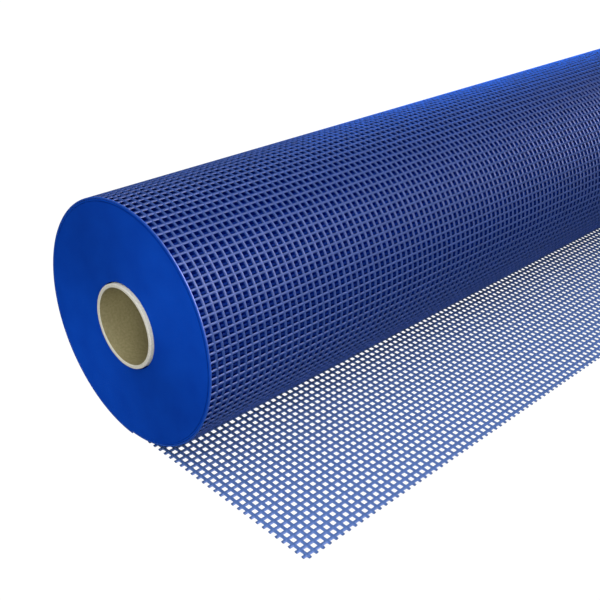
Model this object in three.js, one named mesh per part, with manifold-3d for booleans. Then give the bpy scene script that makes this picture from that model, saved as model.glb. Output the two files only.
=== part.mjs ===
// A roll of blue fiberglass mesh, wound on a cardboard tube and lying on its side, with a loose
// tail of the web flat on the floor. Millimetres, +Z up: the roll's axis runs along Y and the
// tail leaves the foot of the roll towards +X.
import * as THREE from "three";
import { mergeVertices } from "three/addons/utils/BufferGeometryUtils.js";
import Module from "manifold-3d";

// The wound web
const webWidth = 1000; // end face to end face
const rollDiameter = 151;
const turnGrooves = 8; // concentric steps that the turns leave on each end face
const grooveWidth = 1.2;
const grooveDepth = 0.6;

// The loose tail, still one piece with the outermost turn
const tailReach = 147; // from the line where the web leaves the roll to the tips of its strands
const tailInset = 1.9; // the tail's side edges lie this far inside the roll's end faces
const webThickness = 0.6; // over the strands

// The cardboard tube
const coreDiameter = 51.2;
const coreWall = 2.3;
const coreProud = 2; // how far each end of the tube stands out of the wound end face
const coreClearance = 0.3; // between the tube and the innermost turn

// Sides of every turned surface: a multiple of four puts one flat at the foot of the roll
const sides = 72;

const rollRadius = rollDiameter / 2;
const coreRadius = coreDiameter / 2;
const boreRadius = coreRadius + coreClearance;
const halfSide = Math.PI / sides;

// Places the roll so that the middle of the whole footprint is at the origin
const rollX = -tailReach / 2 + rollRadius / 2;
const rollPlace = new THREE.Vector3(rollX, 0, rollRadius);

const wasm = await Module();
wasm.setup();

function toSolid(geometry) {
  const bare = geometry.clone();
  bare.deleteAttribute("normal");
  bare.deleteAttribute("uv");
  const merged = mergeVertices(bare);
  return new wasm.Manifold(
    new wasm.Mesh({
      numProp: 3,
      vertProperties: new Float32Array(merged.attributes.position.array),
      triVerts: new Uint32Array(merged.index.array),
    }),
  );
}

function toGeometry(solid) {
  const { vertProperties, triVerts } = solid.getMesh();
  return new THREE.BufferGeometry()
    .setAttribute("position", new THREE.BufferAttribute(vertProperties, 3))
    .setIndex(new THREE.BufferAttribute(triVerts, 1));
}

// Turns a closed outline of [radius, y] corners round the Y axis. The corners of the sides lie a
// little outside the true radius, so each flat touches the real cylinder along its middle.
function turned(outline) {
  const stretch = 1 / Math.cos(halfSide);
  const points = outline.map(([radius, y]) => new THREE.Vector2(radius * stretch, y));
  return new THREE.LatheGeometry([...points, points[0].clone()], sides, halfSide);
}

// One end face from the bore to the rim: flat rings with a shallow V between each pair of them
function endFace(y, outward) {
  const face = [[boreRadius, y]];
  const step = (rollRadius - boreRadius) / (turnGrooves + 1);
  for (let i = 1; i <= turnGrooves; i++) {
    const middle = boreRadius + i * step;
    face.push([middle - grooveWidth / 2, y]);
    face.push([middle, y - outward * grooveDepth]);
    face.push([middle + grooveWidth / 2, y]);
  }
  face.push([rollRadius, y]);
  return face;
}

function woundRoll() {
  const nearFace = endFace(-webWidth / 2, -1);
  const farFace = endFace(webWidth / 2, 1).reverse();
  return turned([...nearFace, ...farFace]).translate(...rollPlace.toArray());
}

// Runs from under the roll's axis, inside the wound web, out to the tips of the strands
function looseTail() {
  const tail = new THREE.BoxGeometry(tailReach, webWidth - 2 * tailInset, webThickness);
  return tail.translate(rollX + tailReach / 2, 0, webThickness / 2);
}

function coreTube() {
  const half = webWidth / 2 + coreProud;
  const inner = coreRadius - coreWall;
  return turned([
    [inner, -half],
    [coreRadius, -half],
    [coreRadius, half],
    [inner, half],
  ]);
}

const meshBlue = new THREE.MeshStandardMaterial({ color: 0x0a3a98, roughness: 0.5, metalness: 0 });
const cardboard = new THREE.MeshStandardMaterial({ color: 0xb5a988, roughness: 0.9, metalness: 0 });

const mesh = new THREE.Mesh(toGeometry(toSolid(woundRoll()).add(toSolid(looseTail()))), meshBlue);
mesh.name = "fiberglass_mesh";

const core = new THREE.Mesh(coreTube(), cardboard);
core.name = "cardboard_core";
core.position.copy(rollPlace);

const roll = new THREE.Group();
roll.add(mesh, core);

export default roll;
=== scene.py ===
import math

import bmesh
import bpy
import numpy as np
from mathutils import Matrix, Vector


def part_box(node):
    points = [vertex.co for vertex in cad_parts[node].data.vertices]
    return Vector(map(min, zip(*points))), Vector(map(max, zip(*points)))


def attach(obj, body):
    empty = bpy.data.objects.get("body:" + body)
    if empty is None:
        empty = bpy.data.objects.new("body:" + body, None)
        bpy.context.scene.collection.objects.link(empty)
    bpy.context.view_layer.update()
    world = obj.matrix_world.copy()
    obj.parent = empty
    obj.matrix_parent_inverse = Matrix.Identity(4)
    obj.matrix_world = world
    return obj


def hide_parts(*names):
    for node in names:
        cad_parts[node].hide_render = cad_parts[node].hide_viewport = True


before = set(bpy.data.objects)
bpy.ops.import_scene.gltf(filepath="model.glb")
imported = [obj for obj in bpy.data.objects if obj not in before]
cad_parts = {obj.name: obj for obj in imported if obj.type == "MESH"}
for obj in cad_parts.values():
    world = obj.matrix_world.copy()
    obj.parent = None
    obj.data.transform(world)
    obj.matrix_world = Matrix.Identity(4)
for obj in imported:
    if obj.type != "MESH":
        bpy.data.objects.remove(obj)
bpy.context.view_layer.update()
meshLow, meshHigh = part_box("fiberglass_mesh")
coreLow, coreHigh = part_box("cardboard_core")
print("frame loaded")

coreGap = 0.0007  # between the tube and the innermost turn
mergeDistance = 1e-6

# The wound roll: its foot touches the floor at x = footX, and the web leaves it there towards +X
roll = {
    "radius": meshHigh.z / 2,
    "footX": meshLow.x + meshHigh.z / 2,
    "nearY": meshLow.y,
    "farY": meshHigh.y,
    "boreRadius": (coreHigh.x - coreLow.x) / 2 + coreGap,
    "wovenTurns": 2,  # the outermost turns, made strand by strand
    "turnPitch": 0.0005,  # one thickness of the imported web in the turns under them
    "turnRelief": 0.00012,  # how far the edge of a turn stands out of the end face
    "columns": 112,
    "warpBands": 3,  # the pieces that the outermost turn's warps are made in
    "endTilt": 0.5,  # a face whose normal has more than this along the roll belongs to an end
}

# The photograph's viewing angle, in degrees, from a place given from the foot of the near end
view = {
    "lens": 57.18,
    "sensor": 36,
    "clipStart": 0.01,
    "yaw": 44.07,
    "down": 28.71,
    "tilt": 2.46,
    "fromNearFoot": (0.39365, -0.26575, 0.35154),
}


def makeCamera():
    yaw, down, tilt = (math.radians(view[key]) for key in ("yaw", "down", "tilt"))
    flat = Vector((-math.sin(yaw), math.cos(yaw), 0))
    ahead = flat * math.cos(down) - Vector((0, 0, math.sin(down)))
    side = Vector((math.cos(yaw), math.sin(yaw), 0))
    up = side.cross(ahead)
    right = side * math.cos(tilt) + up * math.sin(tilt)
    top = up * math.cos(tilt) - side * math.sin(tilt)
    camera = bpy.data.objects.new("camera", bpy.data.cameras.new("camera"))
    bpy.context.scene.collection.objects.link(camera)
    turn = Matrix((right, top, -ahead)).transposed().to_4x4()
    place = Vector((roll["footX"], roll["nearY"], 0)) + Vector(view["fromNearFoot"])
    camera.matrix_world = Matrix.Translation(place) @ turn
    camera.data.lens = view["lens"]
    camera.data.sensor_width = view["sensor"]
    camera.data.clip_start = view["clipStart"]
    bpy.context.scene.camera = camera


makeCamera()


def addNode(tree, kind, inputs=(), **settings):
    node = tree.nodes.new(kind)
    for name, value in settings.items():
        setattr(node, name, value)
    for socket, value in inputs:
        if isinstance(value, bpy.types.NodeSocket):
            tree.links.new(value, node.inputs[socket])
        else:
            node.inputs[socket].default_value = value
    return node


# Materials
def newMaterial(name):
    material = bpy.data.materials.new(name)
    material.use_nodes = True
    return material, material.node_tree, material.node_tree.nodes["Principled BSDF"]


def stretchedNoise(tree, scale, detail):
    place = addNode(tree, "ShaderNodeTexCoord").outputs["Object"]
    mapped = addNode(tree, "ShaderNodeMapping", [("Vector", place), ("Scale", scale)]).outputs[0]
    noise = addNode(tree, "ShaderNodeTexNoise", [("Vector", mapped), ("Scale", 1.0), ("Detail", detail)])
    return noise.outputs["Fac"]


def addRelief(tree, shader, height, strength, distance):
    bump = addNode(tree, "ShaderNodeBump",
                   [("Height", height), ("Strength", strength), ("Distance", distance)])
    tree.links.new(bump.outputs[0], shader.inputs["Normal"])


def blendColours(tree, factor, low, high, fromLow=0.3, fromHigh=0.7):
    ramp = addNode(tree, "ShaderNodeValToRGB", [(0, factor)])
    ends = ramp.color_ramp.elements
    ends[0].position, ends[1].position = fromLow, fromHigh
    ends[0].color, ends[1].color = (*low, 1), (*high, 1)
    return ramp.outputs[0]


# The yarns' colours: the loose tail's and the inner turn's are lit and shaded copies of the wound yarn's,
# with painted light and painted shade
yarnLookAndPaintedLight = {
    # loose: painted paler, as painted light from the pale floor coming through the tail's strands
    "loose": {"deep": (0.056, 0.125, 0.36), "pale": (0.088, 0.180, 0.46), "specular": 0.4},
    "outer": {"deep": (0.020, 0.057, 0.24), "pale": (0.033, 0.083, 0.325), "specular": 0.5},
    # inner: painted darker, as painted shade in the outer turn's holes
    "inner": {"deep": (0.001, 0.015, 0.16), "pale": (0.002, 0.024, 0.22), "specular": 0.03},
    "roughness": 0.42,
    "filamentAcross": 7000,  # filaments in a metre across the strand
    "filamentAlong": 250,
    "filamentDetail": 3.0,
    "reliefStrength": 0.25,
    "reliefDistance": 0.0002,
}


def yarnMaterial(name, lookAndPaintedLight, across):
    material, tree, shader = newMaterial(name)
    scale = [yarnLookAndPaintedLight["filamentAcross"] if wide else yarnLookAndPaintedLight["filamentAlong"] for wide in across]
    filaments = stretchedNoise(tree, scale, yarnLookAndPaintedLight["filamentDetail"])
    colour = blendColours(tree, filaments, lookAndPaintedLight["deep"], lookAndPaintedLight["pale"])
    tree.links.new(colour, shader.inputs["Base Color"])
    addRelief(tree, shader, filaments, yarnLookAndPaintedLight["reliefStrength"], yarnLookAndPaintedLight["reliefDistance"])
    shader.inputs["Roughness"].default_value = yarnLookAndPaintedLight["roughness"]
    shader.inputs["Specular IOR Level"].default_value = lookAndPaintedLight["specular"]
    return material


# The imported edges of the turns, the selvedge, the side of the turns under the woven ones, and the tube's
# board; the selvedge is painted lighter as part of a highlight along the rim, and that side is painted dark
# as shade
mottledLookAndPaintedLight = {
    "wound_edge": {"deep": (0.0025, 0.052, 0.42), "pale": (0.0035, 0.065, 0.48), "grain": 60,
                   "roughness": 0.6, "specular": 0.03, "relief": 0.0},
    # the outer selvedge: its blue is painted lighter, as part of the highlight along the rim, and the rest
    # of that highlight is real specular
    "selvedge_yarn_painted_highlight": {"deep": (0.008, 0.075, 0.46), "pale": (0.012, 0.095, 0.54), "grain": 900,
                      "roughness": 0.4, "specular": 0.9, "relief": 0.0},
    # the side of the turns under the woven ones: painted dark, as painted shade in the woven turns' holes
    "inner_turn_painted_shade": {"deep": (0.0001, 0.005, 0.100), "pale": (0.0002, 0.008, 0.145), "grain": 300,
                   "roughness": 0.7, "specular": 0.0, "relief": 0.0},
    "board_cut_end": {"deep": (0.68, 0.66, 0.55), "pale": (0.82, 0.80, 0.70), "grain": 900,
                      "roughness": 0.85, "specular": 0.3, "relief": 0.0003},
    "board_face": {"deep": (0.27, 0.235, 0.11), "pale": (0.35, 0.31, 0.155), "grain": 700,
                   "roughness": 0.8, "specular": 0.2, "relief": 0.0002},
}
mottle = {"detail": 4.0, "reliefStrength": 0.3}


def mottledMaterial(name):
    material, tree, shader = newMaterial(name)
    lookAndPaintedLight = mottledLookAndPaintedLight[name]
    specks = stretchedNoise(tree, [lookAndPaintedLight["grain"]] * 3, mottle["detail"])
    tree.links.new(blendColours(tree, specks, lookAndPaintedLight["deep"], lookAndPaintedLight["pale"]), shader.inputs["Base Color"])
    shader.inputs["Roughness"].default_value = lookAndPaintedLight["roughness"]
    shader.inputs["Specular IOR Level"].default_value = lookAndPaintedLight["specular"]
    if lookAndPaintedLight["relief"]:
        addRelief(tree, shader, specks, mottle["reliefStrength"], lookAndPaintedLight["relief"])
    return material


acrossWeb, alongWeb = (True, False, True), (False, True, False)
# The loose yarns carry painted light from the floor
looseWeftPaintedLight = yarnMaterial("loose_weft_painted_light", yarnLookAndPaintedLight["loose"], acrossWeb)
looseWarpPaintedLight = yarnMaterial("loose_warp_painted_light", yarnLookAndPaintedLight["loose"], alongWeb)
weftYarn = yarnMaterial("weft_yarn", yarnLookAndPaintedLight["outer"], acrossWeb)
warpYarn = yarnMaterial("warp_yarn", yarnLookAndPaintedLight["outer"], alongWeb)
# The inner yarns carry painted shade
innerWeftPaintedShade = yarnMaterial("inner_weft_painted_shade", yarnLookAndPaintedLight["inner"], acrossWeb)
innerWarpPaintedShade = yarnMaterial("inner_warp_painted_shade", yarnLookAndPaintedLight["inner"], alongWeb)
woundEdge = mottledMaterial("wound_edge")
selvedgeYarnPaintedHighlight = mottledMaterial("selvedge_yarn_painted_highlight")
innerTurnPaintedShade = mottledMaterial("inner_turn_painted_shade")
boardCut = mottledMaterial("board_cut_end")
boardFace = mottledMaterial("board_face")
print("materials made")

# The weave, as the strands lie in the loose tail and in the outermost turns
weave = {
    "pitch": 0.005,
    "thickness": 0.0012,  # where two strands cross, and so how much a turn's radius shrinks
    "strandHeight": 0.0011,
    "tailInset": 0.0019,  # the tips of the tail's wefts stop this far inside the end faces
    "rollInset": 0.0003,  # and the roll's wefts end inside the selvedge
    "lastWeft": 0.1444,  # from the foot of the roll
    "firstWarp": 0.005,  # from the end face
    "tailTip": 0.147,  # from the foot of the roll to the tips of the warps
    "warpSides": 6,
    "weftSides": 8,
    "hiddenWarpSides": 4,  # in the second turn
    "warpRings": 2,  # in each pitch of a warp
    "hiddenWarpRings": 1,
    "sharpOver": 50,  # degrees between two faces of a strand
}

# How wide the strands are: they spread in the loose tail and are pulled narrow in the roll
looseWidth = {"weft": 0.0023, "warp": 0.0022, "crossing": 0.0026}
woundWidth = {"weft": 0.00155, "warp": 0.0015, "crossing": 0.0018}

# The selvedge of a turn, along each rim of the roll
selvedge = {"width": 0.0009, "height": 0.0012, "sides": 10}


# Geometry nodes
def newTree(name, wanted):
    tree = bpy.data.node_groups.new(name, "GeometryNodeTree")
    tree.interface.new_socket("Geometry", in_out="OUTPUT", socket_type="NodeSocketGeometry")
    for label, kind in wanted.items():
        tree.interface.new_socket(label, in_out="INPUT", socket_type="NodeSocket" + kind)
    given = tree.nodes.new("NodeGroupInput").outputs
    return tree, {label: given[label] for label in wanted}


def calc(tree, operation, *values):
    return addNode(tree, "ShaderNodeMath", enumerate(values), operation=operation).outputs[0]


# Where a point of the web lies: run is the way along the web from the roll's foot, below 0 in the
# tail, and rise is the height over the web's lower face, which is the outer one in the roll
def rolledUp(tree, run, rise):
    angle = calc(tree, "DIVIDE", calc(tree, "MAXIMUM", run, 0.0), meanRadius)
    shrink = calc(tree, "MULTIPLY", angle, weave["thickness"] / math.tau)
    radius = calc(tree, "SUBTRACT", calc(tree, "SUBTRACT", roll["radius"], shrink), rise)
    tail = calc(tree, "ADD", calc(tree, "MAXIMUM", calc(tree, "MULTIPLY", run, -1.0), 0.0), roll["footX"])
    x = calc(tree, "SUBTRACT", tail, calc(tree, "MULTIPLY", radius, calc(tree, "SINE", angle)))
    z = calc(tree, "SUBTRACT", roll["radius"], calc(tree, "MULTIPLY", radius, calc(tree, "COSINE", angle)))
    return x, z, angle


closingRings = 2  # a tube's first and last ring shrink to a point, to close its ends


# A grid whose rows become the rings of a tube: gives the ring's number along the strand, the
# angle round it, and 1 on a full ring or 0 on one that closes an end
def tubeGrid(tree, rings, sides):
    last = calc(tree, "SUBTRACT", rings, 1.0)
    columns = calc(tree, "ADD", sides, 1.0)
    grid = addNode(tree, "GeometryNodeMeshGrid",
                   [("Size X", last), ("Size Y", math.tau), ("Vertices X", rings), ("Vertices Y", columns)])
    place = addNode(tree, "GeometryNodeInputPosition").outputs[0]
    parts = addNode(tree, "ShaderNodeSeparateXYZ", [(0, place)]).outputs
    ring = calc(tree, "ADD", parts[0], calc(tree, "DIVIDE", last, 2.0))
    inside = calc(tree, "GREATER_THAN", ring, 0.5)
    before = calc(tree, "LESS_THAN", ring, calc(tree, "SUBTRACT", last, 0.5))
    full = calc(tree, "MULTIPLY", inside, before)
    step = calc(tree, "MINIMUM", calc(tree, "MAXIMUM", calc(tree, "SUBTRACT", ring, 1.0), 0.0),
                calc(tree, "SUBTRACT", last, closingRings))
    return grid.outputs["Mesh"], step, parts[1], full


# How far a point of a ring lies from the middle of the strand, sideways or upwards
def reach(tree, size, full, operation, turn):
    half = calc(tree, "MULTIPLY", calc(tree, "MULTIPLY", size, 0.5), full)
    return calc(tree, "MULTIPLY", half, calc(tree, operation, turn))


def shapeTube(tree, grid, x, y, z):
    place = addNode(tree, "ShaderNodeCombineXYZ", [(0, x), (1, y), (2, z)]).outputs[0]
    moved = addNode(tree, "GeometryNodeSetPosition", [("Geometry", grid), ("Position", place)]).outputs[0]
    closed = addNode(tree, "GeometryNodeMergeByDistance",
                     [("Geometry", moved), ("Distance", mergeDistance)]).outputs[0]
    return addNode(tree, "GeometryNodeSetShadeSmooth", [("Geometry", closed)]).outputs[0]


def finishTree(tree, points, strand, material, rotation=None):
    inputs = [("Points", points), ("Instance", strand)]
    if rotation:
        inputs.append(("Rotation", rotation))
    copies = addNode(tree, "GeometryNodeInstanceOnPoints", inputs).outputs[0]
    real = addNode(tree, "GeometryNodeRealizeInstances", [("Geometry", copies)]).outputs[0]
    painted = addNode(tree, "GeometryNodeSetMaterial",
                      [("Geometry", real), ("Material", material)]).outputs[0]
    tree.links.new(painted, tree.nodes.new("NodeGroupOutput").inputs[0])


# Warps run along the web: one strand is bent to the web's path, and then repeated across it
def warpTree():
    tree, given = newTree("warps", {
        "Start": "Float", "Rings": "Int", "Ring Step": "Float", "First Crossing": "Float", "Pitch": "Float",
        "Width": "Float", "Height": "Float", "Cross Width": "Float", "Thickness": "Float", "Sides": "Int",
        "Count": "Int", "First Y": "Float", "Material": "Material",
    })
    grid, step, turn, full = tubeGrid(tree, given["Rings"], given["Sides"])
    run = calc(tree, "ADD", given["Start"], calc(tree, "MULTIPLY", step, given["Ring Step"]))
    phase = calc(tree, "DIVIDE", calc(tree, "SUBTRACT", run, given["First Crossing"]), given["Pitch"])
    wave = calc(tree, "COSINE", calc(tree, "MULTIPLY", phase, math.tau))
    crossing = calc(tree, "MULTIPLY", calc(tree, "ADD", wave, 1.0), 0.5)
    wider = calc(tree, "SUBTRACT", given["Cross Width"], given["Width"])
    width = calc(tree, "MULTIPLY_ADD", crossing, wider, given["Width"])
    higher = calc(tree, "SUBTRACT", given["Thickness"], given["Height"])
    height = calc(tree, "MULTIPLY_ADD", crossing, higher, given["Height"])
    middle = calc(tree, "MULTIPLY", given["Thickness"], 0.5)
    rise = calc(tree, "ADD", middle, reach(tree, height, full, "SINE", turn))
    x, z = rolledUp(tree, run, rise)[:2]
    strand = shapeTube(tree, grid, x, reach(tree, width, full, "COSINE", turn), z)
    start = addNode(tree, "ShaderNodeCombineXYZ", [(1, given["First Y"])]).outputs[0]
    apart = addNode(tree, "ShaderNodeCombineXYZ", [(1, given["Pitch"])]).outputs[0]
    points = addNode(tree, "GeometryNodeMeshLine",
                     [("Count", given["Count"]), ("Start Location", start), ("Offset", apart)]).outputs[0]
    finishTree(tree, points, strand, given["Material"])
    return tree


# Wefts run across the web: one straight strand is repeated along the web's path
def weftTree():
    tree, given = newTree("wefts", {
        "First Run": "Float", "Count": "Int", "Pitch": "Float", "Width": "Float", "Height": "Float",
        "Thickness": "Float", "Sides": "Int", "Start Y": "Float", "Length": "Float", "Material": "Material",
    })
    rings = 2 + closingRings  # a weft is straight
    grid, step, turn, full = tubeGrid(tree, rings, given["Sides"])
    wide = reach(tree, given["Width"], full, "SINE", turn)
    high = reach(tree, given["Height"], full, "COSINE", turn)
    strand = shapeTube(tree, grid, wide, calc(tree, "MULTIPLY", step, given["Length"]), high)
    index = addNode(tree, "GeometryNodeInputIndex").outputs[0]
    run = calc(tree, "MULTIPLY_ADD", index, given["Pitch"], given["First Run"])
    x, z, angle = rolledUp(tree, run, calc(tree, "MULTIPLY", given["Thickness"], 0.5))
    place = addNode(tree, "ShaderNodeCombineXYZ", [(0, x), (1, given["Start Y"]), (2, z)]).outputs[0]
    line = addNode(tree, "GeometryNodeMeshLine", [("Count", given["Count"])]).outputs[0]
    points = addNode(tree, "GeometryNodeSetPosition", [("Geometry", line), ("Position", place)]).outputs[0]
    euler = addNode(tree, "ShaderNodeCombineXYZ", [(1, angle)]).outputs[0]
    facing = addNode(tree, "FunctionNodeEulerToRotation", [(0, euler)]).outputs[0]
    finishTree(tree, points, strand, given["Material"], facing)
    return tree


def runTree(name, tree, values):
    holder = bpy.data.objects.new(name, bpy.data.meshes.new(name))
    bpy.context.scene.collection.objects.link(holder)
    modifier = holder.modifiers.new("strands", "NODES")
    modifier.node_group = tree
    for item in tree.interface.items_tree:
        if item.in_out == "INPUT":
            modifier[item.identifier] = values[item.name]
    evaluated = holder.evaluated_get(bpy.context.evaluated_depsgraph_get())
    made = bpy.data.meshes.new_from_object(evaluated)
    holder.modifiers.remove(modifier)
    holder.data = made
    made.set_sharp_from_angle(angle=math.radians(weave["sharpOver"]))
    return holder


meanRadius = roll["radius"] - weave["thickness"]
turnLength = math.tau * meanRadius
webWidth = roll["farY"] - roll["nearY"]
warpCount = round(webWidth / weave["pitch"]) - 1
firstCrossing = -weave["lastWeft"]
trees = {"warps": warpTree(), "wefts": weftTree()}


# A number of warps between two places along the web, of which first is the place across it
def makeWarps(name, start, end, first, count, width=woundWidth,
              ringsPerPitch=weave["warpRings"], **changes):
    steps = round((end - start) / weave["pitch"] * ringsPerPitch)
    values = {
        "Start": start, "Rings": steps + 1 + closingRings, "Ring Step": (end - start) / steps,
        "First Crossing": firstCrossing, "Pitch": weave["pitch"], "Width": width["warp"],
        "Height": weave["strandHeight"], "Cross Width": width["crossing"],
        "Thickness": weave["thickness"], "Sides": weave["warpSides"], "Count": count,
        "First Y": roll["nearY"] + weave["firstWarp"] + first * weave["pitch"], "Material": warpYarn,
    }
    return runTree(name, trees["warps"], {**values, **changes})


# The wefts that cross the web between two places along it, up to inset from each side
def makeWefts(name, start, end, inset, width=woundWidth, material=weftYarn):
    first = math.ceil((start - firstCrossing) / weave["pitch"])
    count = math.ceil((end - firstCrossing) / weave["pitch"]) - first
    return runTree(name, trees["wefts"], {
        "First Run": firstCrossing + first * weave["pitch"], "Count": count, "Pitch": weave["pitch"],
        "Width": width["weft"], "Height": weave["strandHeight"], "Thickness": weave["thickness"],
        "Sides": weave["weftSides"], "Start Y": roll["nearY"] + inset, "Length": webWidth - 2 * inset,
        "Material": material,
    })


# The outer turn's selvedges take a yarn painted lighter as part of the rim's highlight
def makeSelvedges(turn, material=selvedgeYarnPaintedHighlight):
    made = []
    for side, y in (("near", roll["nearY"] + selvedge["width"] / 2),
                    ("far", roll["farY"] - selvedge["width"] / 2)):
        changes = {"First Y": y, "Width": selvedge["width"], "Cross Width": selvedge["width"],
                   "Height": selvedge["height"], "Sides": selvedge["sides"], "Material": material}
        made.append(makeWarps("%s_selvedge_%d" % (side, turn + 1), turn * turnLength,
                              (turn + 1) * turnLength, 0, 1, **changes))
    return made


def joined(name, pieces):
    with bpy.context.temp_override(active_object=pieces[0], selected_editable_objects=pieces):
        bpy.ops.object.join()
    pieces[0].name = name
    return pieces[0]


def makeOuterTurn():
    share = math.ceil(warpCount / roll["warpBands"])
    made = []
    for band in range(roll["warpBands"]):
        count = min(share, warpCount - band * share)
        name = "outer_turn_warps_%d" % (band + 1)
        made.append(makeWarps(name, 0.0, turnLength, band * share, count))
    made.append(makeWefts("outer_turn_wefts", 0.0, turnLength, weave["rollInset"]))
    return made + makeSelvedges(0)


# The turn under it shows through its holes, so it is plainer, and its yarn is painted darker as the shade
# in those holes
def makeSecondTurn():
    plain = {"Sides": weave["hiddenWarpSides"], "Cross Width": woundWidth["warp"], "Material": innerWarpPaintedShade}
    return [
        makeWarps("second_turn_warps", turnLength, 2 * turnLength, 0, warpCount,
                  ringsPerPitch=weave["hiddenWarpRings"], **plain),
        makeWefts("second_turn_wefts", turnLength, 2 * turnLength, weave["rollInset"],
                  material=innerWeftPaintedShade),
        *makeSelvedges(1, woundEdge),
    ]


# The loose tail, in yarn painted paler as light from the floor through its strands
def makeTail():
    warps = makeWarps("loose_tail_warps", -weave["tailTip"], 0.0, 0, warpCount, looseWidth,
                      Material=looseWarpPaintedLight)
    wefts = makeWefts("loose_tail_wefts", firstCrossing, 0.0, weave["tailInset"], looseWidth, looseWeftPaintedLight)
    return joined("loose_tail", [warps, wefts])


tail = makeTail()
web = [tail, *makeOuterTurn(), *makeSecondTurn()]
for piece in web:
    print(piece.name, sum(len(face.vertices) - 2 for face in piece.data.polygons))


# The turns under the woven ones, as one body whose ends show the spiral of turn edges and whose side is
# painted dark as the shade under the woven turns' holes
def woundBody():
    columns = roll["columns"]
    angles = np.linspace(0, math.tau, columns + 1)
    outer = roll["radius"] - weave["thickness"] * (roll["wovenTurns"] + angles / math.tau)
    deep = roll["radius"] - roll["boreRadius"]
    rows = 2 * math.ceil(deep / roll["turnPitch"]) + 3  # a ridge and a groove for each turn
    turns = np.arange(rows)[:, None] / 2 - angles[None, :] / math.tau
    spiral = roll["boreRadius"] + roll["turnPitch"] * turns
    radius = np.clip(spiral, roll["boreRadius"], outer[None, :])
    radius[-1] = outer
    groove = np.where(np.arange(rows) % 2 == 0, roll["turnRelief"], 0)[:, None] * (radius == spiral)
    points, faces = [], []

    def addFace(endY, outward):
        first = len(points)
        for row in range(rows):
            for column in range(columns + 1):
                r, a = radius[row, column], angles[column]
                points.append((roll["footX"] - r * math.sin(a), endY - outward * groove[row, column],
                               roll["radius"] - r * math.cos(a)))
        for row in range(rows - 1):
            for column in range(columns):
                corner = first + row * (columns + 1) + column
                faces.append((corner, corner + 1, corner + columns + 2, corner + columns + 1))
        return first

    near, far = addFace(roll["nearY"], -1), addFace(roll["farY"], 1)
    rim = (rows - 1) * (columns + 1)
    for column in range(columns):
        for base in (0, rim):
            a, b = near + base + column, far + base + column
            faces.append((a, a + 1, b + 1, b))
    mesh = bpy.data.meshes.new("wound_turns")
    mesh.from_pydata(points, [], faces)
    shape = bmesh.new()
    shape.from_mesh(mesh)
    bmesh.ops.remove_doubles(shape, verts=shape.verts, dist=mergeDistance)
    bmesh.ops.dissolve_degenerate(shape, edges=shape.edges, dist=mergeDistance)
    gaps = [edge for edge in shape.edges if edge.is_boundary]
    bmesh.ops.holes_fill(shape, edges=gaps, sides=0)
    bmesh.ops.recalc_face_normals(shape, faces=shape.faces)
    shape.to_mesh(mesh)
    shape.free()
    mesh.materials.append(woundEdge)
    # The side gets a colour painted dark as shade
    mesh.materials.append(innerTurnPaintedShade)
    for face in mesh.polygons:
        atEnd = abs(face.normal.y) > roll["endTilt"]
        face.material_index = 0 if atEnd else 1
        face.use_smooth = not atEnd
    body = bpy.data.objects.new("wound_turns", mesh)
    bpy.context.scene.collection.objects.link(body)
    return body


body = woundBody()
print("wound body made:", len(body.data.polygons))


# The board tube, with its cut ends rounded a little
core = {"rimRound": 0.0004, "segments": 128, "wall": 0.0023, "sharpOver": 30}


def coreTube():
    outer = (coreHigh.x - coreLow.x) / 2
    inner = outer - core["wall"]
    soft = core["rimRound"]
    near, far = coreLow.y, coreHigh.y
    profile = [(inner, near + soft), (inner + soft, near), (outer - soft, near), (outer, near + soft),
               (outer, far - soft), (outer - soft, far), (inner + soft, far), (inner, far - soft)]
    shape = bmesh.new()
    rings = []
    for step in range(core["segments"]):
        angle = math.tau * step / core["segments"]
        across, up = math.sin(angle), math.cos(angle)
        rings.append([shape.verts.new((roll["footX"] + r * across, y, roll["radius"] + r * up))
                      for r, y in profile])
    for step, ring in enumerate(rings):
        after = rings[(step + 1) % len(rings)]
        for corner in range(len(profile)):
            following = (corner + 1) % len(profile)
            face = shape.faces.new((ring[corner], ring[following], after[following], after[corner]))
            face.material_index = int(following == 0)  # the bore joins the last corner to the first
    bmesh.ops.recalc_face_normals(shape, faces=shape.faces)
    mesh = bpy.data.meshes.new("core_tube")
    shape.to_mesh(mesh)
    shape.free()
    mesh.materials.append(boardCut)
    mesh.materials.append(boardFace)
    mesh.shade_smooth()
    mesh.set_sharp_from_angle(angle=math.radians(core["sharpOver"]))
    tube = bpy.data.objects.new("core_tube", mesh)
    bpy.context.scene.collection.objects.link(tube)
    return tube


tube = coreTube()


# Stage
studio = {
    "white": 1.05,
    "reach": 30,  # of the floor and the backdrop, from the middle of the object
    "domeSegments": 48,
    "backdropDrop": 0.0002,  # below the object's foot
    "floorDrop": 0.0004,
    "floorGrey": 0.12,  # the floor's share of the light that it gives back to the object
    "horizon": 0.12,
    "zenith": 1.65,
    "horizonTo": 0.3,  # the sky is even up to this height, and from zenithFrom on
    "zenithFrom": 0.95,
    "aimedAt": 0.15,  # along the roll, from its near end
    "sheen": {"place": (0.85, -0.12, 0.78), "size": 1.3, "power": 68, "colour": (0.85, 0.8, 1.0)},
    "front": {"place": (0.55, -0.6, 0.2), "size": 0.5, "power": 3.0, "colour": (1.0, 1.0, 1.0)},
    "rim": {"place": (-1.2, 1.9, 0.25), "size": 1.2, "power": 34, "colour": (0.0, 0.15, 1.0)},
}


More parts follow.
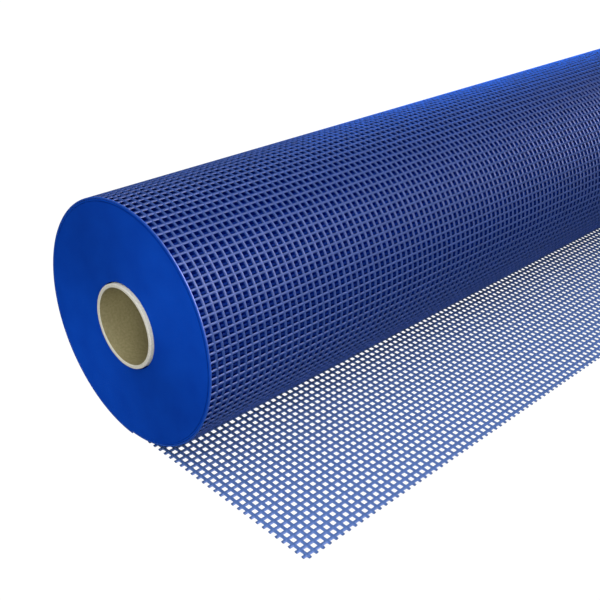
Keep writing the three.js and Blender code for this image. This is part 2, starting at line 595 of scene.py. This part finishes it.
# The camera sees one white floor and dome, which light nothing
def makeBackdrop():
    shape = bmesh.new()
    around = studio["domeSegments"]
    bmesh.ops.create_uvsphere(shape, u_segments=around, v_segments=around // 2, radius=studio["reach"])
    for vert in shape.verts:
        vert.co.z = max(vert.co.z, -studio["backdropDrop"])
    backdrop = stagedObject("backdrop", shape)
    shader = backdrop.data.materials[0].node_tree.nodes["Principled BSDF"]
    shader.inputs["Base Color"].default_value = (0, 0, 0, 1)
    shader.inputs["Specular IOR Level"].default_value = 0
    shader.inputs["Emission Color"].default_value = (1, 1, 1, 1)
    shader.inputs["Emission Strength"].default_value = studio["white"]
    backdrop.visible_diffuse = False
    backdrop.visible_glossy = False
    backdrop.visible_shadow = False


# And the object sees a pale floor, which the camera doesn't
def makeFloor():
    shape = bmesh.new()
    bmesh.ops.create_grid(shape, x_segments=1, y_segments=1, size=studio["reach"])
    floor = stagedObject("floor", shape)
    floor.location.z = -studio["floorDrop"]
    shader = floor.data.materials[0].node_tree.nodes["Principled BSDF"]
    shader.inputs["Base Color"].default_value = (*[studio["floorGrey"]] * 3, 1)
    shader.inputs["Specular IOR Level"].default_value = 0
    floor.visible_camera = False
    floor.visible_glossy = False


def stagedObject(name, shape):
    mesh = bpy.data.meshes.new(name)
    shape.to_mesh(mesh)
    shape.free()
    mesh.materials.append(newMaterial(name)[0])
    thing = bpy.data.objects.new(name, mesh)
    bpy.context.scene.collection.objects.link(thing)
    return thing


def softLight(name, setup):
    light = bpy.data.lights.new(name, "AREA")
    light.shape = "DISK"
    light.size = setup["size"]
    light.energy = setup["power"]
    light.color = setup["colour"]
    lamp = bpy.data.objects.new(name, light)
    bpy.context.scene.collection.objects.link(lamp)
    target = Vector((roll["footX"], roll["nearY"] + studio["aimedAt"], roll["radius"]))
    lamp.location = target + Vector(setup["place"])
    lamp.rotation_mode = "QUATERNION"
    lamp.rotation_quaternion = (target - lamp.location).to_track_quat("-Z", "Y")
    return lamp


def makeSky():
    world = bpy.data.worlds.new("sky")
    bpy.context.scene.world = world
    world.use_nodes = True
    world.cycles_visibility.glossy = False
    tree = world.node_tree
    way = addNode(tree, "ShaderNodeTexCoord").outputs["Generated"]
    height = addNode(tree, "ShaderNodeSeparateXYZ", [(0, way)]).outputs["Z"]
    low, high = ((studio[end],) * 3 for end in ("horizon", "zenith"))
    glow = blendColours(tree, height, low, high, studio["horizonTo"], studio["zenithFrom"])
    tree.links.new(glow, tree.nodes["Background"].inputs["Color"])


# The sheen and the rim only show as highlights, and the front light only brightens
makeBackdrop()
makeFloor()
softLight("sheen", studio["sheen"]).visible_diffuse = False
softLight("front", studio["front"]).visible_glossy = False
softLight("rim", studio["rim"]).visible_diffuse = False
makeSky()
bpy.context.scene.view_settings.view_transform = "Standard"
print("stage made")

# Every piece rides on the one body, and the web and body stand for the CAD solid of the mesh
for piece in [*web, body]:
    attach(piece, "root")
    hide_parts("fiberglass_mesh")
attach(tube, "root")
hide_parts("cardboard_core")
